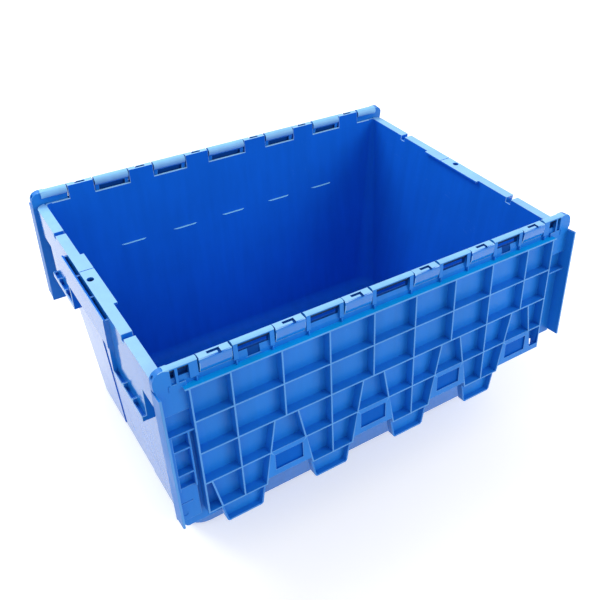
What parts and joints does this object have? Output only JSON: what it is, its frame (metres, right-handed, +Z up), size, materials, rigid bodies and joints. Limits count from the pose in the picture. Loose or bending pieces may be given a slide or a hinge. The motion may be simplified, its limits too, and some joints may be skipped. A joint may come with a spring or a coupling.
{
  "type": "stacking crate",
  "caption": "Nestable plastic storage crate with tapered walls, interlocking lid halves hinged along its long sides, end handles and seal holes.",
  "frame": {"origin": "middle of the crate on the ground", "axes": "+X along the long sides, +Y from the front lid to the rear lid, +Z up"},
  "size_m": [0.572, 0.466, 0.3187],
  "materials": {
    "tub_plastic": "satin moulded polypropylene, blue",
    "lid_plastic": "satin moulded polypropylene, blue",
    "rod_steel": "drawn steel wire"
  },
  "bodies": {
    "tub": {"tub": "tub_plastic", "front_hinge_rod": "rod_steel", "rear_hinge_rod": "rod_steel"},
    "front_lid": {"front_lid": "lid_plastic"},
    "rear_lid": {"rear_lid": "lid_plastic"}
  },
  "joints": [
    {"name": "front_lid_hinge", "type": "hinge", "parent": "tub", "child": "front_lid", "pos_m": [0, -0.1968, 0.3125], "axis": [-1, 0, 0], "range_deg": [0, 264]},
    {"name": "rear_lid_hinge", "type": "hinge", "parent": "tub", "child": "rear_lid", "pos_m": [0, 0.1968, 0.3125], "axis": [1, 0, 0], "range_deg": [0, 264]}
  ]
}
